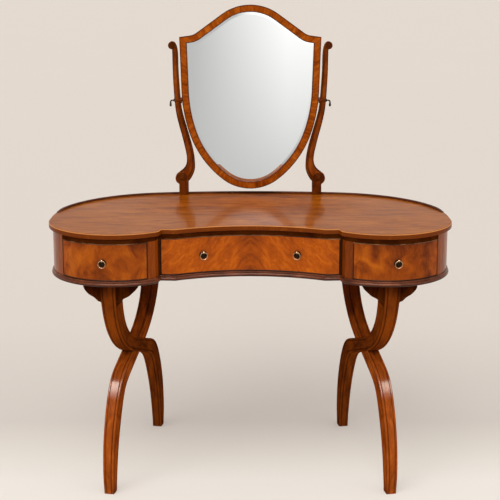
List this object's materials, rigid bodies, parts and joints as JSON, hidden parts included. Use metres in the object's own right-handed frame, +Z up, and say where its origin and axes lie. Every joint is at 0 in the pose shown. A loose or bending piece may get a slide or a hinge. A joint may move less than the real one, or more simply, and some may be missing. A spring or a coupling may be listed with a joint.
{
  "type": "dressing table with shield mirror",
  "caption": "Kidney-shaped dressing table with frieze drawers on crossed curved legs, and a tilting shield-shaped mirror between scrolled posts.",
  "frame": {"origin": "on the floor, under the middle of the table's overall box", "axes": "+X to the right along the table, +Y from the front to the back, +Z up"},
  "size_m": [1.14, 0.5939, 1.3482],
  "materials": {
    "top_veneer": "french polished figured veneer",
    "frieze_veneer": "french polished flame veneer",
    "dark_moulding": "dark polished bead",
    "carcass_wood": "plain planed secondary wood",
    "lining_wood": "waxed drawer lining",
    "leg_wood": "polished solid wood",
    "post_wood": "polished solid wood",
    "brass": "aged brass",
    "screw_steel": "plain steel",
    "mirror_glass": "silvered, bevelled edge"
  },
  "bodies": {
    "root": {"table_top": "top_veneer", "left_end_panel": "frieze_veneer", "right_end_panel": "frieze_veneer", "left_stile": "frieze_veneer", "right_stile": "frieze_veneer", "left_gallery": "dark_moulding", "back_gallery": "dark_moulding", "right_gallery": "dark_moulding", "left_moulding": "dark_moulding", "bay_moulding": "dark_moulding", "right_moulding": "dark_moulding", "back_panel": "carcass_wood", "top_frame": "carcass_wood", "bottom_board": "carcass_wood", "left_partition": "carcass_wood", "right_partition": "carcass_wood", "drawer_runners": "carcass_wood", "drawer_stops": "carcass_wood", "left_front_leg": "leg_wood", "left_rear_leg": "leg_wood", "right_front_leg": "leg_wood", "right_rear_leg": "leg_wood", "left_leg_brackets": "leg_wood", "right_leg_brackets": "leg_wood", "left_mirror_post": "post_wood", "right_mirror_post": "post_wood", "pivot_bosses": "post_wood", "bracket_screws": "screw_steel"},
    "left_drawer": {"left_drawer_front": "frieze_veneer", "left_drawer_inner_side": "lining_wood", "left_drawer_outer_side": "lining_wood", "left_drawer_back": "lining_wood", "left_drawer_bottom": "lining_wood", "left_drawer_pull": "brass", "left_drawer_nut": "brass"},
    "right_drawer": {"right_drawer_front": "frieze_veneer", "right_drawer_inner_side": "lining_wood", "right_drawer_outer_side": "lining_wood", "right_drawer_back": "lining_wood", "right_drawer_bottom": "lining_wood", "right_drawer_pull": "brass", "right_drawer_nut": "brass"},
    "bay_drawer": {"bay_drawer_front": "frieze_veneer", "bay_drawer_left_side": "lining_wood", "bay_drawer_right_side": "lining_wood", "bay_drawer_back": "lining_wood", "bay_drawer_bottom": "lining_wood", "bay_drawer_left_pull": "brass", "bay_drawer_right_pull": "brass", "bay_drawer_nuts": "brass"},
    "left_ring": {"left_drawer_ring": "brass"},
    "bay_left_ring": {"bay_drawer_left_ring": "brass"},
    "bay_right_ring": {"bay_drawer_right_ring": "brass"},
    "right_ring": {"right_drawer_ring": "brass"},
    "mirror": {"mirror_frame": "post_wood", "mirror_glass": "mirror_glass", "mirror_backboard": "carcass_wood", "pivot_plates": "brass"},
    "left_screw": {"left_thumbscrew": "brass"},
    "right_screw": {"right_thumbscrew": "brass"}
  },
  "joints": [
    {"name": "left_drawer_slide", "type": "slide", "parent": "root", "child": "left_drawer", "axis": [0, -1, 0], "range_m": [0, 0.19]},
    {"name": "bay_drawer_slide", "type": "slide", "parent": "root", "child": "bay_drawer", "axis": [0, -1, 0], "range_m": [0, 0.28]},
    {"name": "right_drawer_slide", "type": "slide", "parent": "root", "child": "right_drawer", "axis": [0, -1, 0], "range_m": [0, 0.19]},
    {"name": "left_ring_swing", "type": "hinge", "parent": "left_drawer", "child": "left_ring", "pos_m": [-0.40118, -0.29204, 0.686], "axis": [-0.9894, 0.1452, 0], "range_deg": [-15, 170]},
    {"name": "bay_left_ring_swing", "type": "hinge", "parent": "bay_drawer", "child": "bay_left_ring", "pos_m": [-0.12871, -0.19677, 0.686], "axis": [-0.9594, -0.2821, 0], "range_deg": [-15, 170]},
    {"name": "bay_right_ring_swing", "type": "hinge", "parent": "bay_drawer", "child": "bay_right_ring", "pos_m": [0.12871, -0.19677, 0.686], "axis": [-0.9594, 0.2821, 0], "range_deg": [-15, 170]},
    {"name": "right_ring_swing", "type": "hinge", "parent": "right_drawer", "child": "right_ring", "pos_m": [0.40118, -0.29204, 0.686], "axis": [-0.9894, -0.1452, 0], "range_deg": [-15, 170]},
    {"name": "mirror_tilt", "type": "hinge", "parent": "root", "child": "mirror", "pos_m": [0, 0.27396, 1.056], "axis": [1, 0, 0], "range_deg": [-57.5, 62.5]},
    {"name": "left_screw_turn", "type": "hinge", "parent": "root", "child": "left_screw", "pos_m": [-0.24, 0.27396, 1.056], "axis": [1, 0, 0], "continuous": true},
    {"name": "right_screw_turn", "type": "hinge", "parent": "root", "child": "right_screw", "pos_m": [0.24, 0.27396, 1.056], "axis": [1, 0, 0], "continuous": true}
  ]
}
